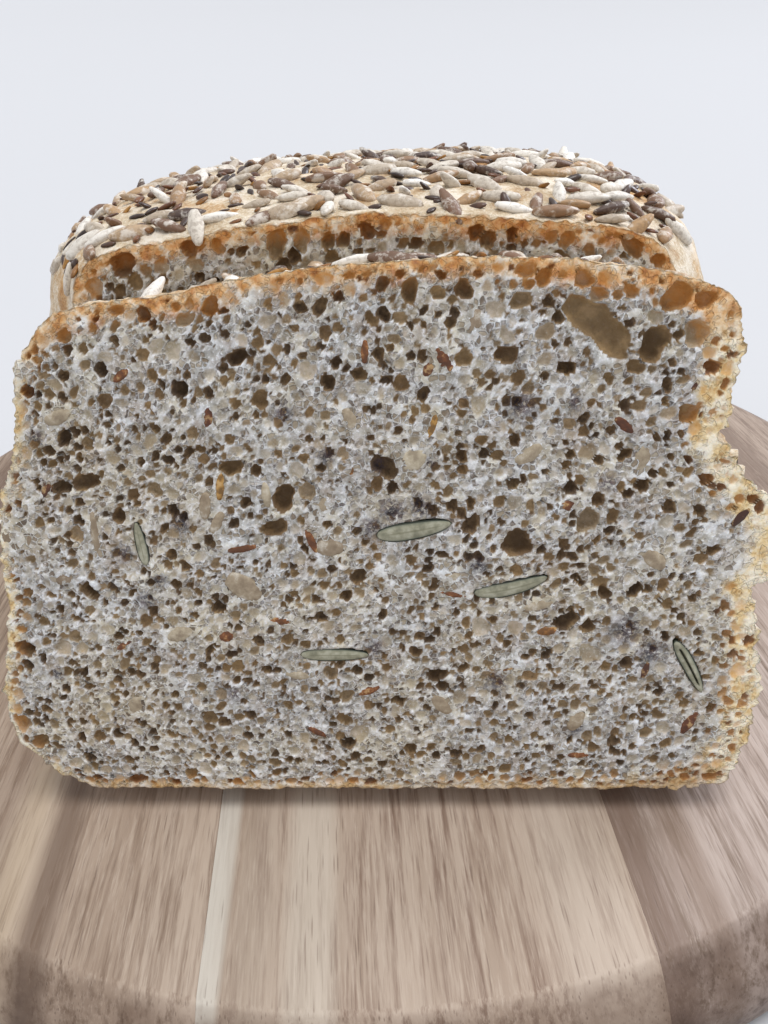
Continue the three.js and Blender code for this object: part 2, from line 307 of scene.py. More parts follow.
WALL = 0.1  # half the thickness of the thinnest wall between two pores
MEET = 0.84  # how near two pores may come, as a share of their radii


def spline(points, share):
    """A point or an array of points on the smooth curve through points, share from 0 to 1."""
    table = np.array(points, float)
    spot = np.clip(np.asarray(share, float), 0, 1) * (len(table) - 1)
    i = np.clip(spot.astype(int), 0, len(table) - 2)
    t = (spot - i)[..., None]
    p = [table[np.clip(i + k, 0, len(table) - 1)] for k in (-1, 0, 1, 2)]
    v0, v1 = (p[2] - p[0]) / 2, (p[3] - p[1]) / 2
    return ((2 * p[1] - 2 * p[2] + v0 + v1) * t ** 3
            + (-3 * p[1] + 3 * p[2] - 2 * v0 - v1) * t ** 2 + v0 * t + p[1])


def even(start, end, points, share):
    """Shares from start to end of a curve, evened out by its length, at an array of 0 to 1."""
    fine = np.linspace(start, end, 400)
    steps = np.hypot(*np.diff(spline(points, fine), axis=0).T)
    run = np.append(0, np.cumsum(steps))
    return np.interp(share, run / run[-1], fine)


def face_sides(points, corners, rows, columns):
    """Shares of the section at the ends of each row, and over each column."""
    left = even(0, corners[0], points, rows)
    right = even(1, corners[1], points, rows)
    top = even(corners[0], corners[1], points, columns)
    return left, right, top


def fill_face(points, corners, u, v):
    """Points of a flat face with the section's outline, for arrays u across and v up."""
    left, right, top = face_sides(points, corners, v, u)
    l, r, t = spline(points, left), spline(points, right), spline(points, top)
    bl, br = spline(points, 0.0), spline(points, 1.0)
    tl, tr = spline(points, corners[0]), spline(points, corners[1])
    u, v = u[:, None], v[:, None]
    b = bl + (br - bl) * u
    return ((1 - v) * b + v * t + (1 - u) * l + u * r
            - ((1 - u) * (1 - v) * bl + u * (1 - v) * br + (1 - u) * v * tl + u * v * tr))


def new_grid(bm, columns, rows):
    """A square sheet in bm, and for each of its new vertices u and v from 0 to 1."""
    made = bmesh.ops.create_grid(bm, x_segments=columns, y_segments=rows, size=0.5)["verts"]
    place = np.array([v.co for v in made])
    return made, place[:, 0] + 0.5, place[:, 1] + 0.5


def put(verts, place):
    for v, co in zip(verts, place):
        v.co = co


def lumps(place, size, octaves=3, seed=0.0):
    """Smooth noise from about -1 to 1 at each point, with lumps of that size."""
    shifted = np.asarray(place) / size + (seed * 7.3, seed * 3.1, seed * 5.7)
    return np.array([noise.fractal(p, 0.9, 2.1, octaves) for p in shifted.tolist()])


def outline_of(points, count=700):
    """The closed outline of a section, its outward normals and each point's share."""
    share = np.linspace(0, 1, count)
    arch = spline(points, even(0, 1, points, share))
    base = arch[-1] + (arch[0] - arch[-1]) * np.linspace(0, 1, count // 3 + 2)[1:-1, None]
    line = np.vstack([arch, base])
    along = np.roll(line, -1, 0) - np.roll(line, 1, 0)
    normal = np.stack([-along[:, 1], along[:, 0]], 1)
    return line, normal / np.linalg.norm(normal, axis=1)[:, None]


def nearest(flat, line):
    """For each flat point, the index of the nearest outline point and the distance."""
    index = np.empty(len(flat), int)
    gap = np.empty(len(flat))
    for start in range(0, len(flat), 4000):
        part = flat[start:start + 4000]
        apart = np.hypot(part[:, 0, None] - line[None, :, 0], part[:, 1, None] - line[None, :, 1])
        index[start:start + 4000] = apart.argmin(1)
        gap[start:start + 4000] = apart.min(1)
    return index, gap


def scatter_pores(rng, sizes, wide, high, keep_out):
    """Pores, largest first: x, z, half length, half width, turn, depth, tone, seed. Each of sizes
    is how many, and their least and greatest diameter. Large ones are commonest near the top."""
    pores = []
    taken = np.array([(x, z, r) for x, z, r in keep_out] or [(0, -900, 1)], float)
    for count, small, large in sizes:
        for _ in range(count):
            slim = rng.uniform(0.5, 1.0)
            long = rng.uniform(small, large) / 2
            half = long * (1 + slim) / 2
            for _ in range(12):
                x, z = rng.uniform(-wide, wide), rng.uniform(0, high)
                if small > 2 and z < high * 0.78 and rng.random() < 0.5:
                    continue
                # some patches of the crumb stayed close
                if noise.noise((x / 6.5, 4.0, z / 5)) > 0.22 and rng.random() < 0.85:
                    continue
                apart = np.hypot(taken[:, 0] - x, taken[:, 1] - z)
                if (apart - taken[:, 2] * MEET).min() > half * MEET:
                    break
            else:
                continue
            kind = rng.choice(3, p=[0.42, 0.36, 0.22])  # shallow, middling or deep
            # deeper pores get a higher tone: more painted shade in their lining
            depth, tone = ((0.45, 0.15), (0.95, 0.5), (1.6, 0.85))[kind]
            pores.append((x, z, long, long * slim, rng.uniform(0, math.pi), half * depth,
                          tone + rng.uniform(-0.15, 0.15), rng.uniform(0, 6.28)))
            taken = np.vstack([taken, (x, z, half)])
    return pores


def in_line(flat, x, z, turned):
    """How far each flat point is along, and beside, a line through x, z at turned radians."""
    dx, dz = flat[:, 0] - x, flat[:, 1] - z
    along = dx * math.cos(turned) + dz * math.sin(turned)
    return along, dz * math.cos(turned) - dx * math.sin(turned)


def carve(flat, pores):
    """Depth, tone and rim at each flat point. Pores that meet share a thin wall halfway between
    them, so where they crowd they become rounded cells. Rim is 1 on a pore's lip, where the
    bread's finish paints a highlight."""
    first, second = np.full(len(flat), 9.0), np.full(len(flat), 9.0)
    whose = np.zeros(len(flat), int)
    order = np.argsort(flat[:, 0])
    sorted_x = flat[order, 0]
    for number, (x, z, long, short, turned, _, _, seed) in enumerate(pores):
        reach = 1.3 * long + 0.8
        near = order[np.searchsorted(sorted_x, x - reach):np.searchsorted(sorted_x, x + reach)]
        near = near[abs(flat[near, 1] - z) < reach]
        across, beside = in_line(flat[near], x, z, turned)
        angle = np.arctan2(beside, across)
        uneven = 1 + 0.10 * np.sin(2 * angle + seed) + 0.09 * np.sin(3 * angle + 2.3 * seed)
        uneven += 0.06 * np.sin(5 * angle + 4.1 * seed)
        away = (np.hypot(across / long, beside / short) / uneven - 1) * (long + short) / 2
        closer = away < first[near]
        second[near] = np.where(closer, first[near], np.minimum(second[near], away))
        whose[near[closer]] = number
        first[near[closer]] = away[closer]
    inside = np.minimum(-first, (second - first) / 2 - WALL)
    half = np.array([(p[2] + p[3]) / 2 for p in pores])[whose]
    share = np.clip(inside / (0.55 * half), 0, 1)
    depth = np.array([p[5] for p in pores])[whose] * np.sqrt(1 - (1 - share) ** 2)
    tone = np.array([p[6] for p in pores])[whose]
    return depth, tone, np.clip(1 - abs(inside + 0.12) / 0.3, 0, 1)


def set_field(piece, name, values):
    layer = piece.data.attributes.new(name, "FLOAT", "POINT")
    layer.data.foreach_set("value", np.asarray(values, np.float32))


# pumpkin seeds that the knife cut: across, up the face, half length, half thickness, turn, bend
PUMPKIN_CUTS = [
    (6.2, 50.1, 6.1, 1.5, 9, -0.2), (21.5, 40.1, 6.1, 1.3, 13, -0.6),
    (-7.9, 27.6, 5.9, 1.2, -1, 0.0), (-38.2, 48.6, 3.9, 0.95, 94, 0.0),
    (51.0, 24.5, 5.6, 1.1, -62, 0.2)]
SPLIT = (5,)  # this one's halves gape
# flax and kernels that it cut: across, up the face, half length, half width, turn, tone
FLAX_CUTS = [
    (-24.5, 69.3, 1.9, 1.0, 80, 0.7), (9.6, 67.0, 2.3, 0.7, 72, 1.0),
    (-3.2, 59.6, 1.6, 0.9, 70, 0.9), (-24.0, 58.0, 2.4, 0.8, 80, 1.0),
    (-10.3, 48.6, 2.4, 0.8, -70, 0.8), (-21.6, 47.4, 2.6, 0.7, 8, 0.8),
    (11.6, 76.3, 2.6, 1.2, -60, 0.75), (9.2, 75.4, 1.4, 0.9, 60, 0.7),
    (47.7, 72.0, 1.8, 0.8, 70, 0.6), (-0.1, 78.2, 1.8, 0.7, 85, 0.85),
    (30.0, 53.5, 1.3, 1.1, 20, 0.75), (56.5, 51.0, 2.0, 0.8, 50, 0.55),
    (12.4, 38.6, 3.0, 0.6, -12, 0.8), (21.0, 24.5, 1.6, 0.9, 10, 0.65),
    (-16.6, 34.2, 2.6, 0.9, -8, 0.85), (-26.0, 31.4, 1.4, 1.2, 20, 0.8),
    (27.6, 31.6, 1.8, 0.9, 5, 0.9), (-2.4, 20.5, 2.2, 0.9, 20, 0.8),
    (52.0, 13.5, 2.6, 1.2, 60, 0.7), (-52.0, 58.5, 1.9, 0.9, 60, 0.65),
    (44.0, 24.0, 1.6, 0.7, 75, 0.6), (33.5, 7.0, 2.2, 0.8, 0, 0.8),
    (-44.0, 30.0, 1.8, 0.8, 30, 0.75), (38.0, 66.0, 1.9, 0.9, -40, 0.7),
    (-37.0, 76.0, 1.7, 0.8, 35, 0.8), (-12.0, 12.0, 1.9, 0.7, -30, 0.75)]
KERNEL_CUTS = [
    (-16.8, 56.5, 2.2, 0.9, 92, 0.15), (-8.1, 54.5, 2.4, 1.7, 60, 0.35),
    (-7.3, 47.3, 2.4, 1.8, 0, 0.5), (-22.1, 40.5, 3.4, 2.4, -35, 0.4),
    (-26.8, 54.9, 2.4, 1.1, 80, 0.45), (-25.2, 52.0, 2.2, 1.0, 60, 0.4),
    (6.6, 61.6, 2.2, 2.0, 20, 0.1), (12.8, 42.2, 3.0, 1.5, -4, 0.2),
    (15.9, 81.8, 2.0, 1.3, 70, 0.55), (26.0, 36.4, 2.8, 1.1, 12, 0.3),
    (-56.5, 50.0, 2.3, 1.3, 70, 0.6), (-60.0, 50.5, 1.9, 1.4, 80, 0.55),
    (-52.0, 42.6, 1.8, 1.6, 10, 0.65), (-45.5, 50.5, 4.2, 0.9, 88, 0.45),
    (10.0, 17.5, 2.4, 1.6, -50, 0.4), (-34.0, 32.0, 2.6, 1.5, 20, 0.2),
    (41.0, 61.0, 2.4, 1.5, 70, 0.3), (44.0, 44.0, 2.3, 1.6, -40, 0.35),
    (-44.0, 18.0, 2.7, 1.6, 50, 0.3), (-14.5, 23.8, 2.3, 1.1, -10, 0.25),
    (-48.0, 70.0, 2.4, 1.3, 20, 0.3), (33.0, 14.0, 2.2, 1.4, 60, 0.4),
    (-3.0, 68.0, 2.2, 1.6, -70, 0.35), (24.0, 62.0, 2.5, 1.4, 35, 0.3)]
# pores that stand out: a long tan one near the top right corner, and its neighbours
MARKED_PORES = [
    (33.4, 80.8, 6.2, 2.5, -0.72, 1.7, 0.5, 1.0), (41.5, 77.9, 2.6, 2.1, 1.3, 2.2, 0.6, 2.0),
    (44.1, 84.3, 2.3, 1.9, 1.2, 1.8, 0.5, 3.0), (48.0, 83.7, 1.5, 1.2, 0.6, 1.6, 0.5, 3.6),
    (47.2, 79.1, 2.2, 1.6, 1.4, 1.6, 0.3, 5.0), (31.1, 87.1, 1.4, 1.2, 0.2, 1.6, 0.4, 4.0),
    (33.2, 85.0, 1.3, 1.0, -0.4, 1.2, 0.3, 0.3), (25.5, 87.6, 1.2, 1.1, 0.9, 1.4, 0.5, 0.9),
    (22.4, 84.6, 1.5, 1.3, 0.3, 1.3, 0.45, 1.2), (41.4, 81.4, 1.3, 1.0, -0.7, 0.8, 0.2, 1.9),
    (29.2, 74.8, 1.3, 1.1, 0.0, 2.0, 0.85, 2.4), (20.5, 77.0, 1.7, 1.4, 0.3, 1.7, 0.7, 2.9),
    (26.0, 80.1, 1.5, 1.2, 1.0, 0.9, 0.3, 3.3), (20.5, 79.8, 1.6, 1.0, 2.3, 0.7, 0.2, 3.9),
    (14.4, 86.3, 1.6, 1.2, 2.4, 1.8, 0.7, 4.4), (6.7, 86.6, 1.2, 1.7, 0.0, 1.8, 0.6, 5.2),
    (12.4, 81.8, 0.9, 0.8, 0.0, 1.4, 0.9, 5.6), (-22.2, 85.4, 1.5, 1.2, 0.8, 1.6, 0.55, 0.1),
    (-6.3, 84.8, 1.4, 0.9, 0.9, 1.6, 0.9, 0.6), (-19.2, 78.0, 1.7, 1.1, 0.3, 2.2, 0.85, 0.5),
    (-50.5, 58.6, 2.9, 1.1, 0.05, 2.4, 0.95, 2.5), (-45.6, 59.4, 2.4, 1.3, 0.1, 2.0, 0.8, 0.7),
    (15.2, 50.6, 1.8, 1.2, 1.2, 2.0, 0.8, 3.5), (22.4, 47.4, 2.5, 2.2, 0.4, 2.4, 0.75, 4.5),
    (30.6, 33.2, 2.6, 1.4, 0.4, 2.2, 0.9, 5.5), (-46.0, 1.9, 2.0, 1.0, 0.2, 1.6, 0.9, 6.0),
    (9.4, 23.4, 1.8, 1.2, 0.1, 2.2, 0.85, 0.2), (-3.0, 42.0, 1.5, 1.2, 0.7, 1.8, 0.85, 0.4),
    (-14.2, 55.8, 2.2, 1.8, 1.0, 2.2, 0.65, 0.8), (2.0, 60.5, 2.2, 1.6, -0.8, 2.2, 0.9, 1.4),
    (-16.0, 50.8, 2.2, 1.3, 0.3, 2.0, 0.6, 2.7), (-22.0, 61.0, 2.0, 1.3, 0.3, 1.8, 0.6, 3.1)]


# how many pores of each size, from the smallest to the largest diameter
PORE_SIZES = [
    (14, 3.2, 4.2), (150, 2.4, 3.2), (700, 1.75, 2.4), (2300, 1.15, 1.75), (2600, 0.8, 1.15)]
# where dark grain husks or seed skins were cut: across, up the face, size
SLICE_STAINS = [
    (3.0, 53.2, 2.4), (7.5, 53.6, 2.2), (-0.5, 50.6, 2.0), (16.5, 43.6, 1.6), (22.8, 69.5, 2.6),
    (30.5, 69.8, 1.4), (40.5, 31.5, 3.2), (44.5, 27.5, 2.8), (19.5, 22.0, 2.4), (-1.0, 29.0, 1.8),
    (-13.0, 69.5, 1.8), (-31.0, 52.0, 1.6), (-41.5, 47.0, 1.8), (-39.0, 38.5, 1.8),
    (51.6, 79.8, 1.8), (36.0, 57.0, 1.6), (-52.0, 67.0, 1.4), (1.0, 60.5, 1.2),
    (-26.0, 20.0, 1.6), (33.0, 12.5, 1.6), (-57.0, 24.3, 1.3), (-36.0, 42.0, 1.4),
    (-7.0, 62.5, 1.6), (9.0, 61.0, 1.2)]


def stained(flat, stains):
    """From 0 to 1: how near each flat point is to the middle of a stain."""
    amount = np.zeros(len(flat))
    for x, z, size in stains:
        far = np.hypot(flat[:, 0] - x, flat[:, 1] - z) / size
        amount = np.maximum(amount, np.clip(1.3 - far, 0, 1))
    return amount


def make_slice():
    rng = np.random.default_rng(11)
    line, outward = outline_of(SLICE_SECTION)
    bm = bmesh.new()
    front, u, v = new_grid(bm, round(128 / FACE_STEP), round(91 / FACE_STEP))
    flat = fill_face(SLICE_SECTION, SLICE_CORNERS, u, v)
    put(front, np.column_stack([flat[:, 0], np.zeros(len(flat)), flat[:, 1]]))
    ring = [e for e in bm.edges if e.is_boundary]
    for _ in range(SLICE_LAYERS):
        made = bmesh.ops.extrude_edge_only(bm, edges=ring)["geom"]
        verts = [g for g in made if isinstance(g, bmesh.types.BMVert)]
        bmesh.ops.translate(bm, verts=verts, vec=(0, SLICE_THICKNESS / SLICE_LAYERS, 0))
        ring = [g for g in made if isinstance(g, bmesh.types.BMEdge) and g.is_boundary]
    before = set(bm.edges)
    back, u, v = new_grid(bm, round(124 / BACK_STEP), round(88 / BACK_STEP))
    behind = fill_face(SLICE_SECTION, SLICE_CORNERS, u, v)
    put(back, np.column_stack([behind[:, 0] * 0.995, np.full(len(behind), SLICE_THICKNESS),
                               behind[:, 1]]))
    rim = [e for e in bm.edges if e not in before and e.is_boundary]
    bmesh.ops.bridge_loops(bm, edges=ring + rim)
    bmesh.ops.recalc_face_normals(bm, faces=bm.faces)

    place = np.array([v.co for v in bm.verts])
    flat = place[:, [0, 2]]
    index, gap = nearest(flat, line)
    deep = place[:, 1] / SLICE_THICKNESS
    on_face, on_back = deep < 0.001, deep > 0.999
    # the outline: torn and lumpy, most on the right flank
    rim_place = np.column_stack([line[index, 0], place[:, 1], line[index, 1]])
    torn = np.clip((line[index, 0] - 44) / 8, 0, 1) * np.clip((85 - line[index, 1]) / 8, 0, 1)
    left = np.clip((-44 - line[index, 0]) / 8, 0, 1)
    rough = 0.45 + 1.1 * torn + 0.5 * left
    push = rough * (0.8 * lumps(rim_place, 6.0, 3, 1) + 0.75 * lumps(rim_place, 1.6, 3, 2))
    push += 0.35 * np.abs(lumps(rim_place, 0.8, 2, 3)) * rough
    held = np.where(on_face | on_back, np.exp(-gap / 2.0), 1)
    base_side = (line[index, 1] < 1.0) & (abs(line[index, 0]) < 55)
    hanging = np.clip(1 - deep / 0.35, 0, 1)  # the front of the base is lifted clear of the board
    base_push = 1.1 * push * hanging - 0.6 * np.abs(push) * (1 - hanging)
    push = np.where(base_side, base_push, push) * held
    place[:, 0] += outward[index, 0] * push
    place[:, 2] += outward[index, 1] * push
    # the cut: opened pores in a frothy wall
    keep_out = [(x + k * long * 0.6 * math.cos(math.radians(turned)),
                 z + k * long * 0.6 * math.sin(math.radians(turned)), thick + 0.3)
                for x, z, long, thick, turned, _ in PUMPKIN_CUTS + FLAX_CUTS + KERNEL_CUTS
                for k in (-1, -0.5, 0, 0.5, 1)]
    keep_out += [(x + k * long * math.cos(turned), z + k * long * math.sin(turned), short)
                 for x, z, long, short, turned, *_ in MARKED_PORES for k in (-0.5, 0, 0.5)]
    pores = MARKED_PORES + scatter_pores(rng, PORE_SIZES, 68, 91, keep_out)
    depth, tone, rim = carve(flat, pores)
    inside = np.clip((gap - 0.5) / 0.8, 0, 1)
    depth *= inside
    # the bulge on the right flank is smooth
    bulge = np.clip((9 - gap) / 2, 0, 1) * np.clip((line[index, 0] - 44) / 8, 0, 1)
    depth *= 1 - 0.85 * bulge * np.clip(1.6 - abs(line[index, 1] - 44) / 7, 0, 1)
    pocket = np.zeros(len(flat))
    for x, z, long, thick, turned, bend in PUMPKIN_CUTS:
        across, beside = in_line(flat, x, z, math.radians(turned))
        beside = beside - bend * (1 - (across / long) ** 2)
        far = np.hypot(across / long, beside / thick)
        pocket = np.maximum(pocket, np.clip((1.05 - far) / 0.3, 0, 1))
    for x, z, long, thick, turned, _ in FLAX_CUTS + KERNEL_CUTS:
        across, beside = in_line(flat, x, z, math.radians(turned))
        full = np.clip((1.25 - np.hypot(across / long, beside / thick)) / 0.2, 0, 1)
        depth *= 1 - full
    froth = lumps(place, 0.9, 3, 4)
    swell = lumps(place, 14, 2, 5)
    depth = depth * (1 - pocket) + 1.5 * pocket
    into = depth - 0.16 * froth - 0.25 * swell * inside
    place[:, 1] += np.where(on_face, np.maximum(into, -0.25), 0)
    back_pores = scatter_pores(rng, [(60, 2.4, 4.0), (500, 1.8, 2.6)], 66, 90, [])
    back_depth, back_tone, back_rim = carve(flat, back_pores)
    place[:, 1] -= np.where(on_back, back_depth * inside - 0.15 * froth, 0)
    place[:, 2] -= SLICE_FALL * np.clip(deep, 0, 1) * place[:, 2] / SLICE_HEIGHT
    place[:, 2] = np.maximum(place[:, 2], -0.2 - 1.3 * hanging)
    put(bm.verts, place)

    lean = math.radians(SLICE_LEAN)
    lift = SLICE_THICKNESS * math.sin(lean) + BOARD_THICKNESS + REST_GAP
    stand = (Matrix.Translation((*SLICE_EDGE, lift))
             @ Matrix.Rotation(math.radians(LOAF_TURN), 4, "Z") @ Matrix.Rotation(-lean, 4, "X"))
    piece = piece_of("slice_of_bread", bm, stand)
    set_field(piece, "pore", np.where(on_back, back_depth * inside, depth * on_face))
    set_field(piece, "rim", np.where(on_back, back_rim, rim) * inside * (on_back | on_face))
    set_field(piece, "stain", stained(flat, SLICE_STAINS) * on_face)
    set_field(piece, "tone", np.where(on_back, back_tone, tone))
    set_field(piece, "edge", np.where(on_face | on_back, gap, 0))
    set_field(piece, "side", line[index, 0] / 70)
    set_field(piece, "rise", line[index, 1] / 100)
    piece.data.shade_smooth()
    return piece, stand


def bread_finish(name, flour, torn):
    """Crumb and crust in one: the fields say how deep a pore is and how far the outside is.
    Flour is how much of the crust is dusted, and torn how wide the right flank's crust is."""
    f = Finish(name, 0.75, 0.3)
    pore, rim, tone, edge, side, rise, stain = map(
        f.field, ("pore", "rim", "tone", "edge", "side", "rise", "stain"))
    big = f.noise(60, 3)
    small = f.noise(420, 4, 0.6)
    fine = f.noise(1700, 3, 0.7)
    # the finest froth is only drawn: bright filaments round small grey or tan cells, whose darker
    # browns are painted shade in holes that the mesh does not have
    drift = f.add("TexNoise", {"Vector": f.place, "Scale": 800.0}).outputs["Color"]
    drift = f.add("VectorMath", {0: drift, 3: 0.0008}, operation="SCALE").outputs[0]
    bent = f.add("VectorMath", {0: f.place, 1: drift}, operation="ADD").outputs[0]
    threads = f.add("TexVoronoi", {"Vector": bent, "Scale": 1050.0}, feature="DISTANCE_TO_EDGE")
    cells = f.add("TexVoronoi", {"Vector": bent, "Scale": 1050.0})
    parts = f.add("SeparateXYZ", {0: cells.outputs["Color"]})
    kind, shade_of = parts.outputs[0], parts.outputs[1]
    wall = f.ramp(small, (0.3, "#8c877e"), (0.45, "#b0ada7"), (0.57, "#cfcecc"), (0.68, "#eef0f2"))
    wall = f.mix(f.fade(big, 0.42, 0.66, 0.0, 0.5), wall, "#cbba96")
    patchy = f.noise(190, 3, 0.6)
    wall = f.mix(f.fade(patchy, 0.53, 0.68, 0.0, 0.65), wall, "#ddd2b8")
    wall = f.mix(f.fade(patchy, 0.46, 0.34, 0.0, 0.5), wall, "#9c8672")
    # tiny near-white flecks on the walls: painted glints
    wall = f.mix(f.fade(fine, 0.55, 0.7, 0.0, 0.85), wall, "#f8fafc")
    cell = f.ramp(shade_of, (0.0, "#ada08a"), (0.35, "#918067"), (0.7, "#6e5940"),
                  (0.97, "#443122"))
    hollow = f.fade(threads.outputs["Distance"], 0.04, 0.16, 0.0, 1.0)
    hollow = f.times(hollow, f.fade(kind, 0.38, 0.5, 0.0, 1.0))
    hollow = f.times(hollow, f.fade(pore, 0.05, 0.3, 1.0, 0.0))
    base = f.mix(f.times(hollow, 0.85), wall, cell)
    # the lips of the pores are painted lighter: a painted highlight
    base = f.mix(f.times(rim, f.fade(fine, 0.4, 0.6, 0.1, 0.7)), base, "#eceaea")
    # inside the pores: a tan lining, with painted shade that turns the deeper pores brown
    lining_and_shade = f.ramp(tone, (0.0, "#b8a580"), (0.35, "#9b7f51"), (0.65, "#7b5d35"), (1.0, "#513a20"))
    lining_and_shade = f.mix(f.fade(small, 0.35, 0.6, 0.4, 0.0), lining_and_shade, "#5c4228")
    lining_and_shade = f.mix(f.fade(small, 0.5, 0.68, 0.0, 0.5), lining_and_shade, "#b08a52")
    ragged_pore = f.sums("ADD", pore, f.sums("MULTIPLY_ADD", fine, 0.5, -0.25))
    sunk = f.times(f.fade(ragged_pore, 0.08, 0.42, 0.0, 1.0), f.fade(tone, 0.1, 0.5, 0.55, 1.0))
    base = f.mix(f.times(sunk, 0.93), base, lining_and_shade)
    # painted shade at the bottom of the deepest pores
    base = f.mix(f.fade(pore, 1.1, 2.4, 0.0, 0.6), base, "#41301d")
    # husks and seed skins that were cut through
    husk = f.times(stain, f.fade(fine, 0.38, 0.52, 0.0, 1.0))
    base = f.mix(f.times(husk, 0.9), base, f.ramp(small, (0.4, "#33303a"), (0.6, "#5b4a4b")))
    # the baked band under the crust, widest at the top and to the right
    top = f.fade(rise, 0.76, 0.86, 0.0, 1.0)
    right = f.fade(side, 0.6, 0.78, 0.0, torn)
    ragged = f.sums("MULTIPLY_ADD", small, 5.0, -2.5)
    band = f.sums("ADD", edge, f.sums("MULTIPLY_ADD", big, 4.0, ragged))
    wide = f.sums("MULTIPLY_ADD", top, 1.7, f.sums("MULTIPLY_ADD", right, 3.6, 2.9))
    baked = f.fade(f.sums("SUBTRACT", wide, band), -1.2, 1.2, 0.0, 1.0)
    toast = f.ramp(small, (0.3, "#ad652a"), (0.42, "#d9954c"), (0.53, "#ebbd82"),
                   (0.66, "#f9ead2"))
    pale = f.ramp(small, (0.28, "#d8ab66"), (0.42, "#f0d49e"), (0.57, "#fcf0d6"))
    toast = f.mix(f.sums("SUBTRACT", 1.0, top), toast, pale)
    base = f.mix(f.times(baked, 0.86), base, toast)
    # the bottom crust is browner: partly its own darker bake, partly painted shade along the board
    sole_and_shade = f.times(baked, f.fade(rise, 0.0, 0.04, 0.5, 0.0))
    base = f.mix(sole_and_shade, base, "#8a5a30")
    # pores near the crust are toasted orange, with painted shade that browns the deeper ones
    warm = f.times(f.fade(f.sums("SUBTRACT", wide, band), -2.4, 0.4, 0.0, 0.85), sunk)
    base = f.mix(warm, base, f.mix(tone, "#d6974c", "#743c13"))
    # the outside: a golden skin under soft drifts of flour
    outside = f.fade(edge, 0.0, 0.25, 1.0, 0.0)
    soft = f.noise(150, 5, 0.6)
    grain = f.sums("MULTIPLY_ADD", soft, 0.6, f.times(fine, 0.4))
    skin = f.ramp(grain, (0.36, "#a06f3e"), (0.47, "#c09158"), (0.6, "#dbba88"))
    drifts = f.sums("MULTIPLY_ADD", big, 0.65, f.times(grain, 0.35))
    dust = f.fade(drifts, 0.46 - flour, 0.6 - flour, 0.1, 0.9)
    skin = f.mix(dust, skin, f.ramp(grain, (0.4, "#b0997a"), (0.49, "#cabba1"), (0.58, "#e1d7c7")))
    skin = f.mix(f.fade(rise, 0.02, 0.2, 0.6, 0.0), skin, "#a97c4e")
    base = f.mix(outside, base, skin)
    f.paint(base)
    f.shader.inputs["Subsurface Weight"].default_value = 0.1
    f.shader.inputs["Subsurface Radius"].default_value = (0.0012, 0.0009, 0.0006)
    f.shader.inputs["Subsurface Scale"].default_value = 1.0
    height = f.sums("MULTIPLY_ADD", hollow, -0.9, f.sums("MULTIPLY_ADD", fine, 0.7, small))
    rough = f.sums("MULTIPLY_ADD", soft, 2.2, f.sums("MULTIPLY_ADD", small, 0.8, fine))
    f.bump(f.add("Mix", {0: outside, 2: height, 3: rough}).outputs[0], 0.35, 0.9)
    return f.material


slice_piece, slice_stand = make_slice()
slice_piece.data.materials.append(bread_finish("slice_crumb_and_crust", 0.1, 1.0))
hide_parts("slice")


# ---- the loaf ----
# What is left of the loaf, cut square across. It swells behind the cut, and its back slopes down
# to a rounded heel. The crust is thin, cream with flour and orange-brown at the cut edge.
LOAF_FACE = (1.2, -63.7)
LOAF_LENGTH = 150
SWELL_LENGTH = 30
FALL_LENGTH = 120
HEEL_LENGTH = 92
HEEL_HEIGHT = 34
CUT_SECTION = [
    (-54, 0), (-63, 3.5), (-67, 12), (-66.5, 27), (-63.5, 46), (-60, 63), (-55.5, 78), (-52, 87),
    (-46, 91), (-32, 93), (-14, 94.8), (2, 95.2), (18, 94), (34, 92.3), (44, 90.5), (50, 86),
    (54, 76), (58, 61), (61.5, 44), (64, 26), (64, 12), (60, 3.5), (54, 0)]
FULL_SECTION = [
    (-58, 0), (-69, 4), (-73.5, 13), (-74.5, 29), (-73.5, 48), (-72.5, 63), (-70.5, 76),
    (-65.5, 86), (-56.5, 92.5), (-40, 96.2), (-18, 97.4), (2, 97.6), (20, 97), (36, 95.6),
    (48, 92.8), (58, 87), (64.5, 76), (67, 62), (68, 45), (68.5, 28), (67.5, 13), (63.5, 4),
    (55, 0)]
LOAF_CORNERS = (7.5 / 22, 14.6 / 22)
LOAF_COLUMNS, LOAF_ROWS, LOAF_RINGS = 200, 110, 110
ROW_CROWDING = 1.35  # rows stand closer towards the top, which the slice leaves in view
LOAF_PORE_SIZES = [(24, 3.0, 4.4), (200, 2.2, 3.0), (900, 1.6, 2.2), (1800, 1.1, 1.6)]
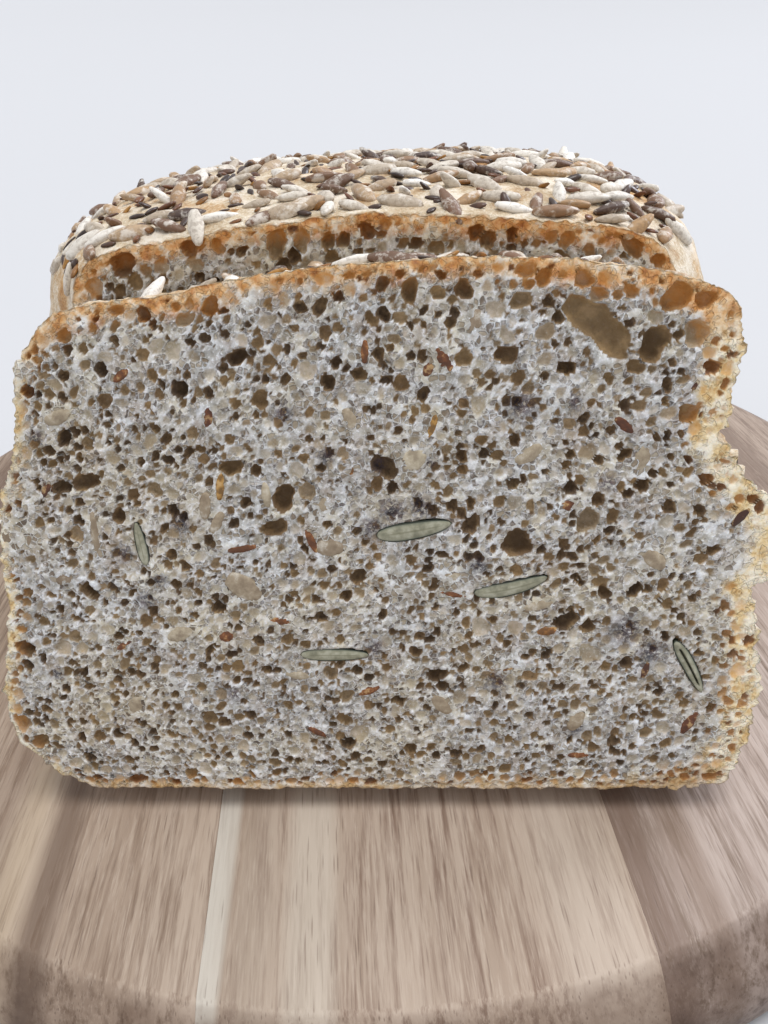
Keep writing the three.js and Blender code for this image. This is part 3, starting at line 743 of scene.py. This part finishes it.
# the ones that show above the slice, listed as the slice's are
LOAF_MARKED_PORES = [
    (-43.4, 89.0, 2.2, 2.0, 0.2, 2.4, 0.8, 0.4), (-31.2, 91.3, 1.7, 1.5, 0.9, 2.0, 0.75, 1.1),
    (-16.1, 91.4, 2.6, 1.7, 1.3, 1.8, 0.45, 1.9), (-11.8, 91.5, 2.1, 1.3, 1.5, 1.5, 0.35, 2.3),
    (-7.3, 91.2, 1.4, 1.1, 1.2, 1.6, 0.6, 2.8), (-4.6, 91.5, 1.4, 1.0, 1.4, 1.8, 0.7, 3.3),
    (-0.5, 92.6, 1.7, 1.0, 2.6, 1.8, 0.9, 3.9), (-49.4, 85.2, 2.0, 1.4, 1.4, 1.2, 0.3, 4.4),
    (-41.9, 85.9, 1.4, 1.3, 0.4, 1.2, 0.5, 4.9), (-45.0, 84.4, 1.3, 1.1, 0.4, 1.4, 0.7, 5.3),
    (-15.2, 87.7, 1.3, 1.0, 2.8, 1.6, 0.9, 5.8), (-36.7, 88.3, 1.5, 1.3, 1.0, 1.0, 0.25, 0.2),
    (-30.7, 88.4, 1.5, 1.2, 2.5, 1.0, 0.3, 0.8), (19.5, 90.2, 1.5, 1.3, 1.0, 1.8, 0.7, 1.3),
    (23.4, 91.0, 1.2, 0.9, 1.5, 1.8, 0.85, 1.7), (7.5, 90.3, 1.2, 0.9, 0.0, 1.6, 0.8, 2.1),
    (11.0, 89.4, 1.4, 1.2, 0.3, 1.2, 0.45, 2.6), (43.6, 88.4, 2.3, 1.5, 2.4, 1.8, 0.6, 3.1),
    (48.2, 85.8, 1.4, 1.1, 0.8, 1.5, 0.5, 3.6), (30.0, 90.3, 1.2, 1.0, 1.4, 1.0, 0.4, 4.1)]


def rounding(far, power):
    """The height of a superellipse: 1 at its middle, and 0 at its end, where far is 1."""
    return (1 - np.clip(far, 0, 0.9999) ** power) ** (1 / power)


def loaf_point(share, along):
    """The crust at a share of the section's arch and of the loaf's length, as arrays."""
    back = np.asarray(along, float) * LOAF_LENGTH
    swell = np.sin(np.minimum(1, back / SWELL_LENGTH) * math.pi / 2)[..., None]
    p = spline(CUT_SECTION, share) * (1 - swell) + spline(FULL_SECTION, share) * swell
    left = LOAF_LENGTH - back
    narrowing = rounding(1 - left / HEEL_LENGTH, 2.5)
    falling = rounding(1 - left / FALL_LENGTH, 2.2)
    undercut = rounding(1 - left / HEEL_LENGTH, 7)
    rise = (p[..., 1] - HEEL_HEIGHT) * np.where(p[..., 1] < HEEL_HEIGHT, undercut, falling)
    height = np.maximum(0, HEEL_HEIGHT + rise)
    return np.stack([p[..., 0] * narrowing, back + 0 * rise, height], -1)


def make_loaf():
    rng = np.random.default_rng(23)
    bm = bmesh.new()
    face, u, v = new_grid(bm, LOAF_COLUMNS, LOAF_ROWS)
    v = 1 - (1 - v) ** ROW_CROWDING
    flat = fill_face(CUT_SECTION, LOAF_CORNERS, u, v)
    put(face, np.column_stack([flat[:, 0], np.zeros(len(flat)), flat[:, 1]]))
    # the body: a sheet wrapped once round, whose first ring is the rim of the cut face
    rows = 1 - (1 - np.linspace(0, 1, LOAF_ROWS + 1)) ** ROW_CROWDING
    columns = np.linspace(0, 1, LOAF_COLUMNS + 1)
    left, right, top = face_sides(CUT_SECTION, LOAF_CORNERS, rows, columns)
    arch = np.concatenate([left, top[1:], right[::-1][1:]])
    around = len(arch) - 1 + LOAF_COLUMNS
    body, u, v = new_grid(bm, around, LOAF_RINGS)
    step = np.round(u * around).astype(int)
    along = np.sin(v * math.pi / 2) ** 1.3
    place = loaf_point(arch[np.minimum(step, len(arch) - 1)], along)
    under = np.clip((step - len(arch) + 1) / LOAF_COLUMNS, 0, 1)[:, None]
    first, last = loaf_point(np.zeros(len(v)), along), loaf_point(np.ones(len(v)), along)
    place = np.where(under > 0, last + (first - last) * under, place)
    put(body, place)
    bmesh.ops.remove_doubles(bm, verts=bm.verts, dist=0.002)
    tip = [v for v in bm.verts if v.co.y > LOAF_LENGTH - 1e-6]
    bmesh.ops.pointmerge(bm, verts=tip, merge_co=sum((v.co for v in tip), Vector()) / len(tip))
    bmesh.ops.recalc_face_normals(bm, faces=bm.faces)
    bm.normal_update()

    place = np.array([v.co for v in bm.verts])
    out = np.array([v.normal for v in bm.verts])
    on_face = place[:, 1] < 0.001
    flat = place[:, [0, 2]]
    line, outward = outline_of(CUT_SECTION)
    index, gap = nearest(flat, line)
    gap = np.where(on_face, gap, 0)
    push = 0.9 * lumps(place, 24, 3, 6) + 0.3 * lumps(place, 5, 3, 7)
    push += 0.13 * lumps(place, 1.8, 2, 8)
    push *= np.clip(place[:, 2] / 4, 0, 1) * np.clip(place[:, 1] / 6 + 0.25, 0, 1)
    torn = (0.5 * lumps(place, 5, 3, 9) + 0.4 * lumps(place, 1.5, 3, 10)) * np.exp(-gap / 1.6)
    rim_out = np.column_stack([outward[index, 0], np.zeros(len(flat)), outward[index, 1]])
    near_cut = np.exp(-place[:, 1] / 2.0)
    moved = place + np.where(on_face[:, None], 0, out * push[:, None])
    moved += rim_out * (torn * near_cut * np.clip(place[:, 2] / 2, 0, 1))[:, None]
    keep_out = [(p[0], p[1], (p[2] + p[3]) / 2) for p in LOAF_MARKED_PORES]
    pores = LOAF_MARKED_PORES + scatter_pores(rng, LOAF_PORE_SIZES, 68, 96, keep_out)
    depth, tone, rim = carve(flat, pores)
    inside = np.clip((gap - 0.6) / 0.8, 0, 1)
    depth *= inside
    moved[:, 1] += np.where(on_face, np.maximum(depth - 0.2 * lumps(place, 1.0, 3, 11), -0.25), 0)
    moved[:, 2] = np.maximum(moved[:, 2], 0)
    put(bm.verts, moved)
    stand = (Matrix.Translation((*LOAF_FACE, BOARD_THICKNESS + REST_GAP))
             @ Matrix.Rotation(math.radians(LOAF_TURN), 4, "Z"))
    piece = piece_of("loaf_of_bread", bm, stand)
    set_field(piece, "pore", depth * on_face)
    set_field(piece, "rim", rim * inside * on_face)
    set_field(piece, "tone", tone)
    set_field(piece, "edge", gap)
    set_field(piece, "side", np.where(on_face, line[index, 0], 0) / 70)
    set_field(piece, "rise", np.where(on_face, line[index, 1], 90) / 100)
    set_field(piece, "stain", on_face * 0)
    piece.data.shade_smooth()
    return piece, stand


loaf_piece, loaf_stand = make_loaf()
loaf_piece.data.materials.append(bread_finish("loaf_crumb_and_crust", 0.12, 0.0))
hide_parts("loaf")


# ---- seeds on the crust ----
# Hulled sunflower kernels and whole flax seeds were rolled onto the dough, so they lie pressed
# into the crust at every angle, and a few stand on end. Baking toasted some of them brown.
KERNEL_SIZE = (9.0, 3.7, 2.3)
FLAX_SIZE = (4.5, 2.1, 1.0)
KERNEL_TAPER = 0.42
FLAX_TAPER = 0.3
GOLDEN = 0.618034
SEEDED = (0.31, 0.68)  # the shares of the loaf's arch between which seeds stuck
SOLID_KERNELS = {"loaf": 30, "slice": 4}  # how many the solids have


def slice_point(share, along):
    p = spline(SLICE_SECTION, share)
    fall = SLICE_FALL * np.asarray(along) * p[..., 1] / SLICE_HEIGHT
    return np.stack([p[..., 0], along * SLICE_THICKNESS + 0 * fall, p[..., 1] - fall], -1)


def crust_at(surface, share, along):
    """The point and the outward normal there, each a Vector."""
    h = 0.004
    p = surface(np.array([share, share - h, share + h, share, share]),
                np.array([along, along, along, along - h, along + h]))
    out = Vector(p[2] - p[1]).cross(Vector(p[4] - p[3])).normalized()
    return Vector(p[0]), out


def seat(spot, out, heading, tilt, roll=0.0):
    """Lays a seed on the crust, Z out of it and X its length, then turns, tips and rolls it."""
    ahead = out.cross(Vector((1, 0, 0))).normalized()
    across = ahead.cross(out).normalized()
    basis = Matrix((across, ahead, out)).transposed().to_4x4()
    return (Matrix.Translation(spot) @ basis @ Matrix.Rotation(math.radians(heading), 4, "Z")
            @ Matrix.Rotation(-math.radians(tilt), 4, "Y") @ Matrix.Rotation(roll, 4, "X"))


def add_seed(bm, size, taper, matrix, tone, tones):
    """A seed of 48 faces: blunt at one end and pointed at the other."""
    made = bmesh.ops.create_uvsphere(bm, u_segments=8, v_segments=6, radius=0.5)["verts"]
    for v in made:
        x, y, z = v.co.z * 2, v.co.x * 2, v.co.y * 2
        slim = 1 - taper * max(0, x) ** 1.5 - 0.1 * max(0, -x)
        slim *= 1 + 0.25 * (abs(x) > 0.8)
        ridge = 1 + 0.12 * (abs(y) < 0.3)
        v.co = Vector((x * size[0], y * slim * size[1], z * slim * ridge * size[2])) / 2
    bmesh.ops.transform(bm, matrix=matrix, verts=made)
    for v in made:
        v[tones] = tone


def spread(rng, surface, count, apart, shares, alongs, taken):
    """Places on the crust that keep apart from each other and from the places already taken,
    fewer towards the sides."""
    for _ in range(count):
        for _ in range(20):
            share, along = rng.uniform(*shares), rng.uniform(*alongs)
            middle = (share - sum(shares) / 2) / (shares[1] - shares[0]) * 2
            if rng.random() < abs(middle) ** 3:
                continue
            spot, out = crust_at(surface, share, along)
            if all((spot - other).length > apart for other, _ in taken):
                taken.append((spot, out))
                yield spot, out
                break


def seed_piece(name, stand, rows, size, taper, sink):
    """One object of many seeds. Each row: spot, out, heading, tilt, tone, scale. Sink is how much
    of a seed's thickness is in the crust."""
    bm = bmesh.new()
    tones = bm.verts.layers.float.new("tone")
    for spot, out, heading, tilt, tone, scale in rows:
        grown = [side * scale for side in size]
        lifted = spot + out * grown[2] * (0.5 - sink)
        roll = 0.5 * math.sin(heading * 7.3)
        add_seed(bm, grown, taper, seat(lifted, out, heading, tilt, roll), tone, tones)
    piece = piece_of(name, bm, stand)
    piece.data.shade_smooth()
    return piece


def random_rows(rng, places):
    """Rows for seed_piece: nine seeds in ten lie nearly flat, and the others stand up."""
    for spot, out in places:
        tilt = rng.normal(0, 11) if rng.random() < 0.9 else rng.uniform(15, 45)
        yield spot, out, rng.uniform(0, 360), tilt, rng.random() ** 0.8, rng.uniform(0.6, 0.9)


def kernel_finish():
    f = Finish("sunflower_kernel", 0.5, 0.4)
    streak = f.noise(1300, 3, 0.6)
    base = f.ramp(f.field("tone"), (0.0, "#ece7de"), (0.3, "#d2c8b9"), (0.52, "#b3a38e"),
                  (0.68, "#b08d64"), (0.84, "#7a5a43"), (1.0, "#46332a"))
    base = f.mix(f.ramp(streak, (0.38, 0.4), (0.52, 0.0)), base, "#77624f")
    base = f.mix(f.ramp(f.noise(420, 4, 0.7), (0.5, 0.0), (0.62, 0.6)), base, "#ebe4d8")
    f.paint(base)
    f.bump(streak, 0.25, 0.6)
    return f.material


def flax_finish():
    f = Finish("flax_seed", 0.38, 0.4)
    base = f.ramp(f.field("tone"), (0.0, "#34261f"), (0.55, "#503729"), (0.82, "#77492a"),
                  (1.0, "#ad7b34"))
    base = f.mix(f.ramp(f.noise(900, 2), (0.4, 0.4), (0.6, 0.0)), base, "#1d1713")
    f.paint(base)
    f.shader.inputs["Coat Weight"].default_value = 0.12
    return f.material


def lay_seeds(rng, part, surface, stand, rows, kernels, flax):
    """Seeds on one piece: the given rows of kernels, more at random, and flax between them.
    Kernels and flax each say how many, how far apart, between which shares, how far along, and
    how deep."""
    taken = [(row[0], row[1]) for row in rows]
    laid = []
    for kind, size, taper, (*spacing, sink), look in (
            ("kernels", KERNEL_SIZE, KERNEL_TAPER, kernels, KERNEL_LOOK),
            ("flax", FLAX_SIZE, FLAX_TAPER, flax, FLAX_LOOK)):
        rows = [*rows, *random_rows(rng, spread(rng, surface, *spacing, taken))]
        laid.append(seed_piece(f"{kind}_on_{part}", stand, rows, size, taper, sink))
        laid[-1].data.materials.append(look)
        rows = []
    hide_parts(*(f"{part}_kernel_{i + 1:02d}" for i in range(SOLID_KERNELS[part])))


def marked_rows(surface, scale, marked):
    """Rows of kernels from their share of the arch, share along, heading, tilt and tone."""
    return [(*crust_at(surface, share, along), heading, tilt, tone, scale)
            for share, along, heading, tilt, tone in marked]


KERNEL_LOOK, FLAX_LOOK = kernel_finish(), flax_finish()
seed_draws = np.random.default_rng(5)
loaf_rows = marked_rows(loaf_point, 0.92, [
    (0.417, 0.012, -78, -24, 0.28), (0.405, 0.03, 150, 10, 0.88), (0.532, 0.02, 120, 26, 0.86),
    (0.58, 0.02, 4, 4, 0.8), (0.508, 0.03, 172, 6, 0.5), (0.455, 0.022, 8, 6, 0.55),
    (0.463, 0.035, 20, 10, 0.6), (0.60, 0.07, 10, 4, 0.3), (0.37, 0.04, 35, 0, 0.15),
    (0.352, 0.05, 20, 4, 0.2), (0.385, 0.03, 190, 4, 0.62)])
for i in range(1, SOLID_KERNELS["loaf"]):
    share = 0.33 + 0.35 * (i * GOLDEN % 1)
    along = 0.06 + 0.8 * (i + 0.5) / SOLID_KERNELS["loaf"]
    loaf_rows.append((*crust_at(loaf_point, share, along), i * 137.5 % 360,
                      14 * math.sin(i * 2.4), i * 0.37 % 1, 0.9))
lay_seeds(seed_draws, "loaf", loaf_point, loaf_stand, loaf_rows,
          (430, 4.3, SEEDED, (0.01, 0.88), 0.25), (560, 2.5, SEEDED, (0.01, 0.88), 0.12))
slice_rows = marked_rows(slice_point, 0.95, [
    (0.362, 0.3, 60, 38, 0.05), (0.434, 0.28, 10, 6, 0.1), (0.49, 0.7, 100, 4, 0.5),
    (0.58, 0.66, 35, 8, 0.4), (0.445, 0.2, 160, 8, 0.9)])
lay_seeds(seed_draws, "slice", slice_point, slice_stand, slice_rows,
          (24, 6.5, (0.34, 0.57), (0.3, 0.92), 0.35), (36, 3.6, (0.34, 0.57), (0.25, 0.95), 0.25))


# ---- seeds in the crumb ----
# The knife went through pumpkin seeds, which show pale green flesh in a dark green skin, and
# through kernels and flax, which sit flush in the cut.
CUT_SEED_THICKNESS = 0.7
CUT_SEED_DEPTH = -0.05 + CUT_SEED_THICKNESS * 0.32  # of the seed's middle, behind the cut
PUMPKIN_DEPTH = 2.4  # how far a pumpkin seed's side goes back


def in_face(x, deep, z, turned):
    """The place of a seed that lies in the slice's face."""
    return Matrix.Translation((x, deep, z)) @ Matrix.Rotation(-math.radians(turned), 4, "Y")


def make_cut_pumpkin(number, x, z, long, thick, turned, bend, look):
    """A cut seed: its section fills the face, and its side goes back into the crumb. The field
    "out" is 0 along its seam and 1 at its skin, and "split" marks where the seam gapes and is
    painted with shade."""
    bm = bmesh.new()
    bmesh.ops.create_grid(bm, x_segments=28, y_segments=8, size=1)
    out, split = bm.verts.layers.float.new("out"), bm.verts.layers.float.new("split")
    for v in bm.verts:
        u, w = v.co.x, v.co.y
        half = thick * (1 - abs(u) ** 2.6) ** 0.55 * (1 - 0.18 * u)
        v[out] = max(abs(u) ** 8, abs(w))
        v[split] = 1.0 if number in SPLIT and abs(w) < 0.1 and abs(u) < 0.7 else 0.0
        sunk = -0.12 + 0.25 * v[out] ** 2 + 0.5 * v[split]
        v.co = Vector((u * long, sunk, w * half + bend * (1 - u * u)))
    rim = [e for e in bm.edges if e.is_boundary]
    made = bmesh.ops.extrude_edge_only(bm, edges=rim)["geom"]
    verts = [g for g in made if isinstance(g, bmesh.types.BMVert)]
    bmesh.ops.translate(bm, verts=verts, vec=(0, PUMPKIN_DEPTH, 0))
    end = [g for g in made if isinstance(g, bmesh.types.BMEdge) and g.is_boundary]
    bmesh.ops.contextual_create(bm, geom=end)
    bmesh.ops.remove_doubles(bm, verts=bm.verts, dist=0.002)
    bmesh.ops.recalc_face_normals(bm, faces=bm.faces)
    piece = piece_of(f"cut_pumpkin_{number}", bm, slice_stand @ in_face(x, 0, z, turned))
    piece.data.materials.append(look)
    shade(piece, 50)
    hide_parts(f"cut_pumpkin_seed_{number}")


def pumpkin_finish():
    f = Finish("cut_pumpkin_seed", 0.42, 0.45)
    out, split = f.field("out"), f.field("split")
    grain = f.noise(700, 3)
    flesh = f.ramp(grain, (0.35, "#7b7964"), (0.5, "#939079"), (0.65, "#a9a691"))
    seam = f.ramp(out, (0.02, 0.55), (0.16, 0.0))
    base = f.mix(seam, flesh, "#6d6a4e")
    base = f.mix(f.ramp(out, (0.55, 0.0), (0.82, 0.6)), base, "#666b5a")
    base = f.mix(f.ramp(out, (0.78, 0.0), (0.9, 1.0)), base, "#252c20")
    # the gaping seam is painted near black: painted shade
    base = f.mix(split, base, "#1c1b14")
    f.paint(base)
    f.bump(grain, 0.12, 0.6)
    return f.material


def make_cut_seeds(name, cuts, look):
    """Seeds lying in the cut face, a hair proud of it, as one object."""
    bm = bmesh.new()
    tones = bm.verts.layers.float.new("tone")
    for x, z, long, wide, turned, tone in cuts:
        flush = in_face(x, CUT_SEED_DEPTH, z, turned) @ Matrix.Rotation(math.pi / 2, 4, "X")
        add_seed(bm, (long * 2, wide * 2, CUT_SEED_THICKNESS), 0.25, flush, tone, tones)
    piece = piece_of(name, bm, slice_stand)
    piece.data.shade_smooth()
    piece.data.materials.append(look)


def cut_seed_finish(f, grain, tones, dark, pale, relief):
    """The seed's own tone under dark and pale marks: each a colour and the ramp of its share."""
    base = f.ramp(f.field("tone"), *tones)
    for look, *share in (dark, pale):
        base = f.mix(f.ramp(grain, *share), base, look)
    f.paint(base)
    f.bump(grain, *relief)
    return f.material


flax = Finish("cut_flax", 0.4, 0.4)
make_cut_seeds("cut_flax_in_slice", FLAX_CUTS, cut_seed_finish(
    flax, flax.noise(900, 3),
    [(0.5, "#38241c"), (0.7, "#66391f"), (0.85, "#8a552c"), (1.0, "#b08442")],
    ("#3c251a", (0.4, 0.6), (0.55, 0.0)), ("#cba873", (0.55, 0.0), (0.66, 0.6)), (0.25, 0.8)))
kernel = Finish("cut_kernel", 0.55, 0.3)
make_cut_seeds("cut_kernels_in_slice", KERNEL_CUTS, cut_seed_finish(
    kernel, kernel.noise(500, 5, 0.65),
    [(0.0, "#c4b89f"), (0.35, "#a89880"), (0.6, "#8d7b66"), (1.0, "#756555")],
    ("#75634f", (0.38, 0.6), (0.55, 0.0)), ("#d9d2c4", (0.56, 0.0), (0.68, 0.6)), (0.15, 0.6)))
pumpkin_look = pumpkin_finish()
for number, cut in enumerate(PUMPKIN_CUTS, 1):
    make_cut_pumpkin(number, *cut, pumpkin_look)


# ---- the floor and the light ----
# A plain pale floor and soft daylight: one wide source overhead, one from the right and behind,
# and an even surround.
def make_floor():
    """A floor that rises gently far away, so that it fills the view."""
    bm = bmesh.new()
    spin_up(bm, [(0, 0), (2, 0), (3.5, 0.05), (5, 0.25), (6.5, 0.7), (8, 1.3), (10, 2.3),
                 (12, 3.5)], 64)
    bmesh.ops.recalc_face_normals(bm, faces=bm.faces)
    mesh = bpy.data.meshes.new("floor")
    bm.to_mesh(mesh)
    bm.free()
    mesh.shade_smooth()
    floor = bpy.data.objects.new("floor", mesh)
    bpy.context.scene.collection.objects.link(floor)
    f = Finish("pale_floor", 0.8, 0.2)
    f.shader.inputs["Base Color"].default_value = colour("#bfbfc0")
    mesh.materials.append(f.material)


def make_sun(name, come_from, strength, softness, look):
    """Even light from a wide source far away; softness is its width in degrees."""
    lamp = bpy.data.lights.new(name, "SUN")
    lamp.energy = strength
    lamp.angle = math.radians(softness)
    lamp.color = colour(look)[:3]
    light = bpy.data.objects.new(name, lamp)
    light.matrix_world = Vector(come_from).to_track_quat("Z", "Y").to_matrix().to_4x4()
    bpy.context.scene.collection.objects.link(light)


make_floor()
make_sun("above", come_from=(0.1, -0.06, 1.0), strength=1.7, softness=26, look="#ffffff")
make_sun("window", come_from=(1.0, 0.6, 0.75), strength=1.9, softness=25, look="#eef3ff")
world = bpy.data.worlds.new("surround")
world.use_nodes = True
surround = world.node_tree.nodes["Background"]
surround.inputs["Color"].default_value = colour("#e6e9ef")
surround.inputs["Strength"].default_value = 0.88
bpy.context.scene.world = world
bpy.context.scene.view_settings.view_transform = "Standard"
